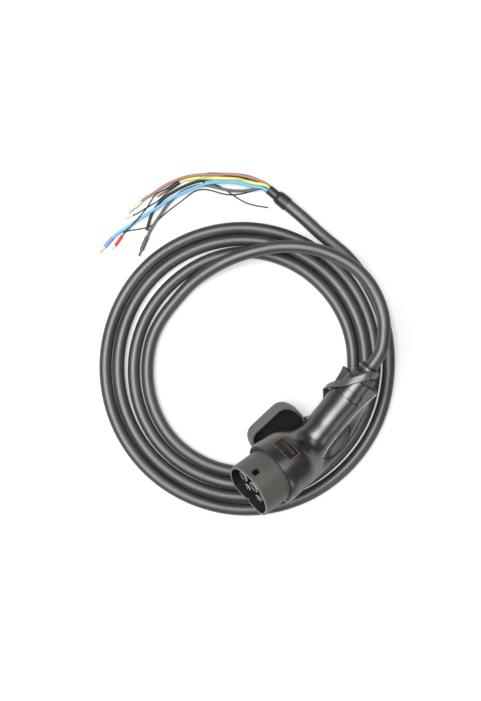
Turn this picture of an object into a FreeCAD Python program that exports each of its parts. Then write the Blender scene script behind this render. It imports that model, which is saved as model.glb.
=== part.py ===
import FreeCAD, Part
import math
import os

Vector = FreeCAD.Vector

# Charging cable for an electric car, lying coiled on a floor. Millimetres, +Z up, floor at z = 0.
# The origin is the middle of the coil's eye, at floor level.
# The connector is drawn in its own frame first: x runs from its mouth back into its body, y to its
# left, and z towards the round side of the mouth, opposite the flat side. Then it is laid down.

# Cable
cable_d = 14.6
coil_turn_angle = 45.0
coil_first_angle = 135.0
coil_radii = (
    119.5, 119.3, 127.0, 127.2, 124.5, 124.2, 129.0, 136.4,
    134.8, 139.0, 142.2, 141.5, 137.5, 137.0, 143.4, 150.6,
    156.0, 156.3, 157.8, 156.4, 150.5, 149.5, 157.4, 165.0,
    171.0, 171.6, 172.6, 171.4, 167.4, 166.4, 174.4,
)
coil_edge_round = 6.6
arc_share = 0.45

# Mouth of the connector, its round radius, flat side and corners outside
mouth_r = 31.2
mouth_flat = 21.8
mouth_corner_r = 12.0
mouth_wall = 3.0
mouth_lip_round = 0.8
nose_length = 33.0
shroud_length = 47.0
flange_start = 40.1
flange_thick = 2.6
flange_height = 1.5
lock_hole_l = 8.6
lock_hole_w = 6.6
lock_hole_back = 9.5
polarising_notch_w = 4.0
polarising_notch_depth = 2.0
part_gap = 0.15

# Contacts
power_pin_r = 3.0
power_sleeve_r = 4.0
power_tower_r = 6.7
power_collar_r = 5.0
power_barrel_r = 3.2
signal_pin_r = 1.5
signal_sleeve_r = 2.5
signal_tower_r = 4.5
signal_collar_r = 3.3
signal_barrel_r = 1.7
contact_bore_depth = 22.0
crimp_bore_depth = 9.0
side_contact_y = 17.2
low_contact_y = 9.0
low_contact_z = 15.6
signal_contact_y = 9.0
signal_contact_z = -12.4
tower_front = 7.0
sleeve_front = 10.0
carrier_front = 28.0
carrier_back = 38.0
contact_collar_thick = 2.0
contact_back = 56.0
retainer_thick = 6.0

# Housing
housing_wall = 3.0
cavity_start = 47.2
rear_wall = 4.0
seal_width = 2.6
seal_depth = 3.2
bend_start = 68.0
bend_length = 40.0
bend_deg = 42.0
body_end = 184.0
parting_gap = 0.4
collar_step_1 = 161.0
collar_step_2 = 170.0
collar_r_1 = 18.6
collar_r_2 = 17.2
ear_height = 6.0
label_l = 29.0
label_w = 16.0
label_thick = 0.6
label_at = 52.6
finger_pocket = 1.4
screw_r = 1.9
screw_head_r = 3.6
screw_length = 30.0
screw_tip = 10.0
screw_head_thick = 2.4
screw_places = ((70.0, 22.4), (70.0, -22.4), (138.0, 12.6), (138.0, -12.6))
boss_r = 4.6

# Rear end of the connector, measured back from the housing's rear edge
gland_r = 13.0
gland_flange_r = 15.2
gland_thread_r = 11.5
gland_depth = 12.0
gland_spigot = 5.4
nut_start = 0.4
nut_length = 7.6
nut_r = 14.6
nut_ribs = 28
nut_rib_depth = 0.5
relief_end = 19.0
relief_r = 11.0
relief_ring_count = 4
relief_ring_depth = 1.3
relief_flange = 1.3
cable_bore_gap = 0.1
cable_in_handle = 150.0
core_r = 1.8
wire_r = 0.8
core_ring_r = 3.5
wire_ring_r = 4.8

# Cap and its strap
cap_gap = 0.6
cap_wall = 2.8
cap_height = 17.0
cap_floor = 2.5
cap_tilt = 27.0
cap_heading = -47.0
cap_at = Vector(29.8, -73.0, 15.96)
strap_w = 8.0
strap_thick = 2.4
strap_ring_at = 199.0
strap_ring_w = 3.6
strap_ring_thick = 1.4

# Collar and boot where the cable is stripped
collar_r = 8.25
collar_l = 17.0
collar_hold = 12.5
boot_r = 5.7
boot_l = 12.0
strip_at = Vector(46.0, 192.7, 8.35)
strip_heading = 141.0

# How the connector lies: middle of its mouth, heading, slope and roll
mouth_at = Vector(-1.98, -133.75, 91.5)
connector_yaw = 32.6
connector_slope = 25.0
connector_roll = -31.4


def unit(v):
    return Vector(v) * (1.0 / v.Length)


def d_profile(x, grow=0.0):
    """The mouth's D outline across the connector's x axis, grown outwards by grow."""
    round_r = mouth_r + grow
    corner_r = mouth_corner_r + grow
    flat_z = -(mouth_flat + grow)
    corner_z = mouth_corner_r - mouth_flat
    corner_y = math.sqrt((mouth_r - mouth_corner_r) ** 2 - corner_z ** 2)
    meet = math.atan2(corner_z, corner_y)
    low = (meet - math.pi / 2) / 2

    def on_round(a):
        return Vector(x, round_r * math.cos(a), round_r * math.sin(a))

    def on_corner(side, a):
        return Vector(x, side * (corner_y + corner_r * math.cos(a)), corner_z + corner_r * math.sin(a))

    edges = [
        Part.Arc(on_round(meet), on_round(math.pi / 2), on_round(math.pi - meet)).toShape(),
        Part.Arc(on_corner(-1, meet), on_corner(-1, low), on_corner(-1, -math.pi / 2)).toShape(),
        Part.LineSegment(Vector(x, -corner_y, flat_z), Vector(x, corner_y, flat_z)).toShape(),
        Part.Arc(on_corner(1, -math.pi / 2), on_corner(1, low), on_corner(1, meet)).toShape(),
    ]
    return Part.Wire(edges)


def d_prism(start, end, grow=0.0):
    return Part.Face(d_profile(start, grow)).extrude(Vector(end - start, 0, 0))


def rod(start, end, r, y=0.0, z=0.0):
    """A round bar along the connector's x axis."""
    return Part.makeCylinder(r, end - start, Vector(start, y, z), Vector(1, 0, 0))


# The axis of the connector: straight through the nose, round the bend, straight through the handle

def bend_angle(s):
    turned = min(max(s - bend_start, 0.0), bend_length) / bend_length
    return math.radians(bend_deg) * turned


def axis_point(s):
    """The point of the connector's axis that lies s behind its mouth, measured along the axis."""
    bend_r = bend_length / math.radians(bend_deg)
    a = bend_angle(s)
    straight = min(s, bend_start)
    beyond = max(s - bend_start - bend_length, 0.0)
    return Vector(
        straight + bend_r * math.sin(a) + beyond * math.cos(a),
        0,
        bend_r * (1 - math.cos(a)) + beyond * math.sin(a),
    )


def axis_frame(s, y=0.0, z=0.0):
    """A point beside the axis: y to the left and z towards the round side, square to the axis."""
    a = bend_angle(s)
    return axis_point(s) + Vector(-z * math.sin(a), y, z * math.cos(a))


def axis_direction(s):
    a = bend_angle(s)
    return Vector(math.cos(a), 0, math.sin(a))


def axis_normal(s):
    a = bend_angle(s)
    return Vector(-math.sin(a), 0, math.cos(a))


def handle_rod(start, end, r):
    return Part.makeCylinder(r, end - start, axis_point(start), axis_direction(start))


def post(s, y, r, low, high):
    """A round bar square to the parting plane."""
    return Part.makeCylinder(r, high - low, axis_frame(s, y, low), axis_normal(s))


def handle_block(start, end, y_low, y_high, z_low, z_high):
    """A block along the straight handle, behind the bend."""
    block = Part.makeBox(end - start, y_high - y_low, z_high - z_low, Vector(0, y_low, z_low))
    turn = FreeCAD.Rotation(Vector(0, 1, 0), -bend_deg)
    block.Placement = FreeCAD.Placement(axis_point(start), turn)
    return block


contacts = {
    "pe": (0.0, 0.0, True),
    "n": (side_contact_y, 0.0, True),
    "l1": (-side_contact_y, 0.0, True),
    "l2": (-low_contact_y, low_contact_z, True),
    "l3": (low_contact_y, low_contact_z, True),
    "cp": (signal_contact_y, signal_contact_z, False),
    "pp": (-signal_contact_y, signal_contact_z, False),
}


def contact_sizes(power):
    if power:
        return power_pin_r, power_sleeve_r, power_tower_r, power_collar_r, power_barrel_r
    return signal_pin_r, signal_sleeve_r, signal_tower_r, signal_collar_r, signal_barrel_r


def make_contact(name):
    """A turned contact: a sleeve for the pin, a collar that is held, and a barrel that is crimped."""
    y, z, power = contacts[name]
    pin_r, sleeve_r, _, collar_r, barrel_r = contact_sizes(power)
    collar_back = carrier_back
    turned = rod(sleeve_front, collar_back, sleeve_r, y, z)
    turned = turned.fuse(rod(collar_back - contact_collar_thick, collar_back, collar_r, y, z))
    turned = turned.fuse(rod(collar_back, contact_back, barrel_r, y, z))
    turned = turned.cut(rod(sleeve_front, sleeve_front + contact_bore_depth, pin_r, y, z))
    crimp_r = barrel_r * 0.7
    turned = turned.cut(rod(contact_back - crimp_bore_depth, contact_back, crimp_r, y, z))
    return turned.removeSplitter()


def make_contact_carrier():
    """One moulding: a base that fills the shroud, with a tower round each contact."""
    base = d_prism(carrier_front, carrier_back, -mouth_wall - part_gap)
    towers = []
    holes = []
    for y, z, power in contacts.values():
        pin_r, sleeve_r, tower_r, collar_r, _ = contact_sizes(power)
        tower = rod(tower_front, carrier_front + 1, tower_r, y, z)
        tip = [e for e in tower.Edges if abs(e.CenterOfMass.x - tower_front) < 0.01]
        towers.append(tower.makeChamfer(0.7, tip))
        holes.append(rod(tower_front, sleeve_front, pin_r + 0.4, y, z))
        holes.append(rod(sleeve_front, carrier_back, sleeve_r + part_gap, y, z))
        seat = carrier_back - contact_collar_thick
        holes.append(rod(seat, carrier_back, collar_r + part_gap, y, z))
    return base.fuse(towers).cut(Part.makeCompound(holes)).removeSplitter()


def make_contact_retainer():
    """The plate behind the carrier that keeps the contacts' collars in their seats."""
    plate = d_prism(carrier_back, carrier_back + retainer_thick, -mouth_wall - part_gap)
    holes = []
    for y, z, power in contacts.values():
        barrel_r = contact_sizes(power)[4]
        holes.append(rod(carrier_back, carrier_back + retainer_thick, barrel_r + part_gap, y, z))
    return plate.cut(Part.makeCompound(holes))


def make_mating_shroud():
    """The D-shaped nose, with the lock's square hole in its round side and a flange in the housing."""
    nose = d_prism(0, shroud_length)
    rim = [e for e in nose.Edges if e.BoundBox.XMax < 0.01]
    nose = nose.makeFillet(mouth_lip_round, rim)
    nose = nose.fuse(d_prism(flange_start, flange_start + flange_thick, flange_height))
    nose = nose.cut(d_prism(-1, shroud_length + 1, -mouth_wall))
    lock = Part.makeBox(lock_hole_l, lock_hole_w, 2 * mouth_wall + 2)
    lock.translate(Vector(lock_hole_back - lock_hole_l / 2, -lock_hole_w / 2, mouth_r - mouth_wall - 2))
    notch = Part.makeBox(polarising_notch_depth, polarising_notch_w, 2 * mouth_wall)
    notch.translate(Vector(0, -polarising_notch_w / 2, -mouth_flat - mouth_wall))
    return nose.cut(lock).cut(notch).removeSplitter()


def make_nose_seal():
    """The dark ring that closes the housing round the nose."""
    start = nose_length + 0.6
    ring = d_prism(start, start + seal_depth, seal_width)
    return ring.cut(d_prism(start - 1, start + seal_depth + 1, part_gap))


# Stations along the housing: distance along the axis, half width at the parting plane, height of
# the round half, depth of the flat half, and half width at the bottom of the flat half
housing_stations = (
    (33.0, 35.8, 35.2, 26.6, 31.0),
    (46.0, 36.2, 35.4, 26.8, 31.0),
    (60.0, 35.6, 34.2, 27.0, 30.0),
    (72.0, 32.6, 30.6, 27.0, 29.4),
    (82.0, 27.4, 26.2, 26.8, 29.0),
    (92.0, 22.6, 22.2, 26.4, 28.8),
    (102.0, 19.9, 20.0, 25.8, 28.6),
    (116.0, 19.2, 19.3, 25.2, 27.4),
    (134.0, 19.4, 19.3, 24.4, 25.0),
    (152.0, 20.2, 19.6, 23.4, 22.0),
    (168.0, 22.0, 19.8, 22.4, 19.8),
    (body_end, 25.0, 19.8, 21.4, 18.4),
)
cavity_stations = (
    ((cavity_start,) + housing_stations[1][1:],)
    + housing_stations[2:-1]
    + ((body_end - rear_wall,) + housing_stations[-1][1:],)
)


def closed_wire(curve_points, low_left, low_right):
    """A smooth curve from left to right, closed by straight edges through the two given points."""
    curve = Part.BSplineCurve()
    curve.interpolate(curve_points)
    first = curve_points[0]
    last = curve_points[-1]
    edges = [curve.toShape()]
    if (low_left - first).Length < 0.001:
        edges.append(Part.LineSegment(last, first).toShape())
    else:
        edges.append(Part.LineSegment(last, low_right).toShape())
        edges.append(Part.LineSegment(low_right, low_left).toShape())
        edges.append(Part.LineSegment(low_left, first).toShape())
    return Part.Wire(edges)


def arch_wire(s, half_w, height, base_z):
    """The round half's section, square to the axis, closed at base_z."""
    def at(a):
        across = abs(math.cos(a)) ** 0.94 * (1 if math.cos(a) >= 0 else -1)
        return axis_frame(s, half_w * across, height * math.sin(a) ** 0.94)

    count = 12
    points = [at(math.pi * i / count) for i in range(1, count)]
    points = [axis_frame(s, half_w, 0)] + points + [axis_frame(s, -half_w, 0)]
    return closed_wire(points, axis_frame(s, half_w, base_z), axis_frame(s, -half_w, base_z))


def hull_wire(s, half_w, depth, low_half_w, top_z):
    """The flat half's section: flanks down to a flat bottom with round corners, closed at top_z."""
    corner = 9.0
    start = -parting_gap
    flare = low_half_w - half_w
    side = [
        (half_w, start),
        (half_w + flare * 0.36, -0.30 * depth),
        (half_w + flare * 0.92, -0.66 * depth),
        (low_half_w - 1.2, -depth + 0.44 * corner),
        (low_half_w - 0.55 * corner, -depth + 0.06 * corner),
        (low_half_w - 1.4 * corner, -depth),
    ]
    points = [axis_frame(s, y, z) for y, z in side]
    points += [axis_frame(s, -y, z) for y, z in reversed(side)]
    return closed_wire(points, axis_frame(s, half_w, top_z), axis_frame(s, -half_w, top_z))


def round_half(stations, wall, base_z):
    wires = [arch_wire(s, half_w - wall, height - wall, base_z) for s, half_w, height, _, _ in stations]
    return Part.makeLoft(wires, True, False)


def flat_half(stations, wall, top_z):
    wires = []
    for s, half_w, _, depth, low_half_w in stations:
        wires.append(hull_wire(s, half_w - wall, depth - wall, low_half_w - wall, top_z))
    return Part.makeLoft(wires, True, False)


def front_slab(low, high):
    """A slab across the straight front of the housing, between two heights about the parting plane."""
    front = housing_stations[0][0]
    length = housing_stations[2][0] - front
    return Part.makeBox(length + 1, 100, high - low, Vector(front - 1, -50, low))


def nose_opening():
    """What both halves leave open for the shroud, its flange, the seal and the gland."""
    opening = d_prism(nose_length - 1, cavity_start + 1, part_gap)
    opening = opening.fuse(d_prism(nose_length - 1, nose_length + 0.6 + seal_depth + part_gap, seal_width + part_gap))
    pocket_end = flange_start + flange_thick + part_gap
    opening = opening.fuse(d_prism(flange_start - part_gap, pocket_end, flange_height + part_gap))
    return opening


def gland_opening():
    return handle_rod(body_end - rear_wall - 1, body_end + 1, gland_r + part_gap)


def label_block(grow):
    """A block through the head's round side, as wide and long as the label."""
    half_l = label_l / 2 + grow
    half_w = label_w / 2 + grow
    block = Part.makeBox(2 * half_w, 2 * half_l, 30, Vector(label_at - half_w, -half_l, 20))
    corners = [e for e in block.Edges if abs(e.BoundBox.ZLength - 30) < 0.01]
    return block.makeFillet(1.5 + grow, corners)


def make_label_plate(outer):
    skin = outer.cut(round_half(housing_stations, label_thick, -1.0))
    return skin.common(label_block(0))


def finger_pocket_block(side):
    """A teardrop-shaped prism through one flank of the flat half."""
    outline = (
        (90.0, -2.2), (108.0, -1.8), (131.0, -2.2), (135.5, -5.0), (133.0, -10.0),
        (125.0, -15.5), (114.0, -18.0), (103.0, -15.5), (94.5, -9.5),
    )
    points = [axis_frame(s, side * 5.0, z) for s, z in outline]
    curve = Part.BSplineCurve()
    curve.interpolate(points[1:-1])
    edges = [
        curve.toShape(),
        Part.LineSegment(points[-2], points[-1]).toShape(),
        Part.LineSegment(points[-1], points[0]).toShape(),
        Part.LineSegment(points[0], points[1]).toShape(),
    ]
    return Part.Face(Part.Wire(edges)).extrude(Vector(0, side * 60, 0))


def make_housing_upper(outer):
    """The round half, hollow, with screw bosses, the label's recess and a stepped collar."""
    cavity = round_half(cavity_stations, housing_wall, -1.0)
    shell = outer.cut(cavity)
    bosses = [post(s, y, boss_r - 1.0, 0.0, 40.0) for s, y in screw_places]
    shell = shell.fuse([boss.common(outer) for boss in bosses])
    pilots = [post(s, y, screw_r + 0.05, -1.0, screw_tip + 1.0) for s, y in screw_places]
    shell = shell.cut(pilots)
    fill_start = collar_step_1 - housing_wall
    fill = outer.common(handle_block(fill_start, body_end, -60, 60, 0, 60))
    fill = fill.cut(handle_rod(fill_start - 1, body_end - rear_wall, gland_flange_r + part_gap))
    shell = shell.fuse(fill)
    for start, r in ((collar_step_1, collar_r_1), (collar_step_2, collar_r_2)):
        ring = handle_block(start, body_end + 1, -60, 60, ear_height, 60)
        shell = shell.cut(ring.cut(handle_rod(start - 1, body_end + 2, r)))
    shell = shell.cut([nose_opening(), gland_opening()])
    recess = outer.cut(round_half(housing_stations, label_thick + 0.05, -1.0)).common(label_block(0.1))
    return shell.cut(recess).removeSplitter()


def make_housing_lower(outer):
    """The flat half, hollow, with posts for the screws and a shallow pocket in each flank."""
    cavity = flat_half(cavity_stations, housing_wall, 1.0)
    shell = outer.cut(cavity)
    posts = [post(s, y, boss_r, -40.0, -parting_gap) for s, y in screw_places]
    shell = shell.fuse([stand.common(outer) for stand in posts])
    seat = screw_tip - screw_length
    holes = [post(s, y, screw_r + 0.1, seat - 1.0, 2.0) for s, y in screw_places]
    holes += [post(s, y, screw_head_r + 0.2, seat - 30.0, seat) for s, y in screw_places]
    shell = shell.cut(holes)
    skin = outer.cut(flat_half(housing_stations, finger_pocket, 1.0))
    for side in (1, -1):
        shell = shell.cut(skin.common(finger_pocket_block(side)))
    shell = shell.cut([nose_opening(), gland_opening()])
    return shell.removeSplitter()


def make_screw(s, y):
    """One housing screw: head below, hexagon socket, round shank."""
    seat = screw_tip - screw_length
    screw = post(s, y, screw_r, seat, screw_tip)
    head = post(s, y, screw_head_r, seat - screw_head_thick, seat - 0.02)
    screw = screw.fuse(head).fuse(post(s, y, screw_r, seat - 0.5, seat + 0.5))
    return screw.cut(post(s, y, 1.4, seat - screw_head_thick - 1, seat - 1.0)).removeSplitter()


def make_cable_gland():
    """The gland's body: a flange inside the housing's rear wall, a collar in it, a spigot behind it."""
    wall_start = body_end - rear_wall
    gland = handle_rod(body_end - gland_depth, body_end + 0.2, gland_r)
    gland = gland.fuse(handle_rod(wall_start - 4.0, wall_start - 0.1, gland_flange_r))
    gland = gland.fuse(handle_rod(body_end, body_end + gland_spigot, gland_thread_r))
    bore = handle_rod(body_end - gland_depth - 1, body_end + gland_spigot + 1, cable_d / 2 + cable_bore_gap)
    return gland.cut(bore).removeSplitter()


def make_gland_nut():
    """The ribbed nut over the gland's spigot, closed behind by a rim that holds the relief."""
    start = body_end + nut_start
    end = start + nut_length
    nut = handle_rod(start, end, nut_r)
    grooves = []
    for i in range(nut_ribs):
        a = 2 * math.pi * i / nut_ribs
        base = axis_frame(start - 1, nut_r * math.cos(a), nut_r * math.sin(a))
        grooves.append(Part.makeCylinder(0.8, nut_length + 2, base, axis_direction(start)))
    nut = nut.cut(Part.makeCompound(grooves))
    nut = nut.cut(handle_rod(start - 1, end - 1.0, gland_thread_r + 0.1))
    return nut.cut(handle_rod(end - 2, end + 1, relief_r - 0.8)).removeSplitter()


def make_strain_relief():
    """The rubber sleeve behind the nut, with rings round it and a flange held by the nut."""
    nut_end = body_end + nut_start + nut_length
    end = body_end + relief_end
    relief = handle_rod(nut_end - 1.1 - relief_flange, nut_end - 1.1, gland_thread_r)
    relief = relief.fuse(handle_rod(nut_end - 1.5, nut_end + 0.2, relief_r - 0.9))
    relief = relief.fuse(handle_rod(nut_end + 0.1, end, relief_r))
    pitch = (end - nut_end) / relief_ring_count
    for i in range(relief_ring_count):
        place = nut_end + 0.1 + (i + 0.62) * pitch
        groove = handle_rod(place, place + 0.38 * pitch, relief_r + 1)
        groove = groove.cut(handle_rod(place - 1, place + pitch, relief_r - relief_ring_depth))
        relief = relief.cut(groove)
    bore = handle_rod(nut_end - 4, end + 1, cable_d / 2 + cable_bore_gap)
    return relief.cut(bore).removeSplitter()


def placed(shape):
    """Lay a piece of the connector down beside the coil."""
    laid = shape.copy()
    turn = FreeCAD.Rotation(connector_yaw, connector_slope, connector_roll)
    laid.Placement = FreeCAD.Placement(mouth_at, turn).multiply(shape.Placement)
    return laid


def world(point):
    turn = FreeCAD.Rotation(connector_yaw, connector_slope, connector_roll)
    return mouth_at + turn.multVec(point)


# Cords

def cord(points, r, name):
    """A round cord: straight runs joined by tangent arcs, with flat ends square to its runs."""
    points = [Vector(p) for p in points]
    runs = [points[i + 1] - points[i] for i in range(len(points) - 1)]
    edges = []
    at = points[0]
    radii = []
    for i in range(1, len(points) - 1):
        before = unit(runs[i - 1])
        after = unit(runs[i])
        turn = before.getAngle(after)
        shorter = min(runs[i - 1].Length, runs[i].Length)
        arc_r = arc_share * shorter / math.tan(turn / 2)
        radii.append(arc_r)
        reach = arc_share * shorter
        start = points[i] - before * reach
        end = points[i] + after * reach
        inward = unit(after - before)
        middle = points[i] + inward * (arc_r / math.cos(turn / 2) - arc_r)
        if (start - at).Length > 0.001:
            edges.append(Part.LineSegment(at, start).toShape())
        edges.append(Part.Arc(start, middle, end).toShape())
        at = end
    edges.append(Part.LineSegment(at, points[-1]).toShape())
    path = Part.Wire(edges)
    section = Part.Wire([Part.Circle(points[0], unit(runs[0]), r).toShape()])
    tube = path.makePipeShell([section], True, False)
    expected = math.pi * r * r * path.Length
    least = min(radii) if radii else 0
    print(
        name, "length", round(path.Length, 1), "least radius", round(least, 1),
        "volume ratio", round(tube.Volume / expected, 4),
    )
    return tube


def polar(r, deg, z):
    a = math.radians(deg)
    return Vector(r * math.cos(a), r * math.sin(a), z)


def coil_r(i):
    return coil_radii[i]


def coil_angle(i):
    return coil_first_angle + coil_turn_angle * i


def make_cable_coil():
    """The turns of cable that lie on the floor, as one ring with rounded edges.

    The innermost turn begins at the inner step and the outermost ends at the outer step.
    """
    half = cable_d / 2
    inner = [polar(coil_r(i) - half, coil_angle(i), 0) for i in range(0, 9)]
    outer = [polar(coil_r(i) + half, coil_angle(i), 0) for i in range(22, 31)]
    rings = []
    for points in (inner, outer):
        curve = Part.BSplineCurve()
        curve.interpolate(points)
        step = Part.LineSegment(points[-1], points[0]).toShape()
        rings.append(Part.Face(Part.Wire([curve.toShape(), step])).extrude(Vector(0, 0, cable_d)))
    inner_ring, outer_ring = rings
    ring = outer_ring.cut(inner_ring)
    curved = []
    for edge in ring.Edges:
        box = edge.BoundBox
        if box.ZLength < 0.01 and edge.Length > 100:
            curved.append(edge)
    return ring.makeFillet(coil_edge_round, curved)


def connector_lead_points():
    """From the cable's end in the handle, over the coil, down to the coil's inner step."""
    gland_end = body_end + relief_end
    points = [world(axis_point(gland_end)), world(axis_point(gland_end + 16))]
    points += [polar(r, deg, z) for r, deg, z in lead_over_coil]
    points.append(landing() - landing_direction() * 14.0)
    points.append(landing())
    return points


def landing():
    return polar(coil_r(0), coil_angle(0), cable_d / 2)


def landing_direction():
    a = math.radians(coil_angle(0) + 90)
    return Vector(math.cos(a), math.sin(a), 0)


def free_lead_points():
    """From the coil's outer step to the heat-shrunk collar."""
    start = polar(coil_r(30), coil_angle(30), cable_d / 2)
    a = math.radians(coil_angle(30) + 90)
    points = [start, start + Vector(math.cos(a), math.sin(a), 0) * 22]
    points += [Vector(x, y, z) for x, y, z in free_lead]
    strip = strip_axis()
    points.append(strip_at - strip * 14)
    points.append(strip_at + strip * collar_hold)
    return points


def strip_axis():
    a = math.radians(strip_heading)
    return Vector(math.cos(a), math.sin(a), 0)


def strip_rod(start, end, r):
    return Part.makeCylinder(r, end - start, strip_at + strip_axis() * start, strip_axis())


def make_heat_shrink_collar():
    """The tube shrunk over the jacket's end: wide over the jacket, narrow over the boot."""
    cone = Part.makeCone(
        collar_r, boot_r + 1.0, collar_l - collar_hold,
        strip_at + strip_axis() * collar_hold, strip_axis(),
    )
    collar = strip_rod(0, collar_hold, collar_r).fuse(cone)
    collar = collar.cut(strip_rod(-1, collar_hold + 0.02, cable_d / 2 + cable_bore_gap))
    return collar.cut(strip_rod(0, collar_l + 1, boot_r + cable_bore_gap)).removeSplitter()


def make_core_boot():
    return strip_rod(collar_hold, collar_l + boot_l, boot_r)


def boot_point(across, up, beyond=0.0):
    """A point on the boot's end face: across to the right of its heading, and up."""
    a = math.radians(strip_heading - 90)
    side = Vector(math.cos(a), math.sin(a), 0)
    return strip_at + strip_axis() * (collar_l + boot_l + beyond) + side * across + Vector(0, 0, up)


def ring_position(deg, r):
    a = math.radians(deg)
    return r * math.sin(a), r * math.cos(a)


# Height and place of the raised lead: radius and angle about the eye, and height
lead_over_coil = (
    (149.6, 11.1, 81.0),
    (157.9, 20.7, 81.0),
    (162.6, 33.6, 76.5),
    (162.3, 45.5, 66.5),
    (155.0, 60.4, 52.5),
    (144.8, 75.2, 39.0),
    (134.2, 89.1, 28.0),
    (128.6, 99.6, 22.6),
    (124.6, 108.5, 18.4),
    (122.0, 117.0, 13.6),
)
free_lead = ((86.5, 156.5, 7.4), (71.5, 170.8, 7.9))


class CoreEnd:
    """Where a conductor's end sleeve lies: its start, heading, sizes, and its bare tip."""

    def __init__(self, x, y, heading, bore_r, sleeve_r, sleeve_l, tip_r, tip_l):
        self.start = Vector(x, y, sleeve_r + 0.05)
        a = math.radians(heading)
        self.axis = Vector(math.cos(a), math.sin(a), 0)
        self.bore_r = bore_r
        self.sleeve_r = sleeve_r
        self.sleeve_l = sleeve_l
        self.tip_r = tip_r
        self.tip_l = tip_l

    def bar(self, start, end, r):
        return Part.makeCylinder(r, end - start, self.start + self.axis * start, self.axis)

    def sleeve(self):
        """The insulating sleeve: the core enters half of it and the tip leaves by the other half."""
        half = self.sleeve_l / 2
        tube = self.bar(0, self.sleeve_l, self.sleeve_r)
        tube = tube.cut(self.bar(-1, half, self.bore_r + 0.06))
        return tube.cut(self.bar(half, self.sleeve_l + 1, self.tip_r + 0.06))

    def tip(self):
        return self.bar(self.sleeve_l / 2, self.sleeve_l + self.tip_l, self.tip_r)

    def face_point(self, across, beyond):
        """A point beside the tip, level with it, some way beyond the sleeve's end face."""
        side = Vector(-self.axis.y, self.axis.x, 0)
        return self.start + self.axis * (self.sleeve_l + beyond) + side * across

    def last_points(self, lead=4.0):
        return [self.start - self.axis * lead, self.start + self.axis * (self.sleeve_l / 2)]


core_ends = {
    "brown": CoreEnd(-129.2, 198.1, 222.7, core_r, 2.4, 10.6, 1.2, 10.6),
    "blue": CoreEnd(-163.7, 154.4, 229.5, core_r, 2.4, 15.0, 1.2, 9.4),
    "earth": CoreEnd(-83.9, 221.1, 214.3, core_r, 2.8, 15.0, 1.0, 17.0),
    "grey": CoreEnd(-122.3, 155.3, 246.5, core_r, 2.6, 17.5, 1.3, 7.7),
    "red": CoreEnd(-152.5, 156.6, 235.0, wire_r, 1.9, 14.6, 0.8, 6.0),
    "pale": CoreEnd(-139.6, 181.2, 202.8, wire_r, 1.4, 7.0, 0.7, 5.4),
}

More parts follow.
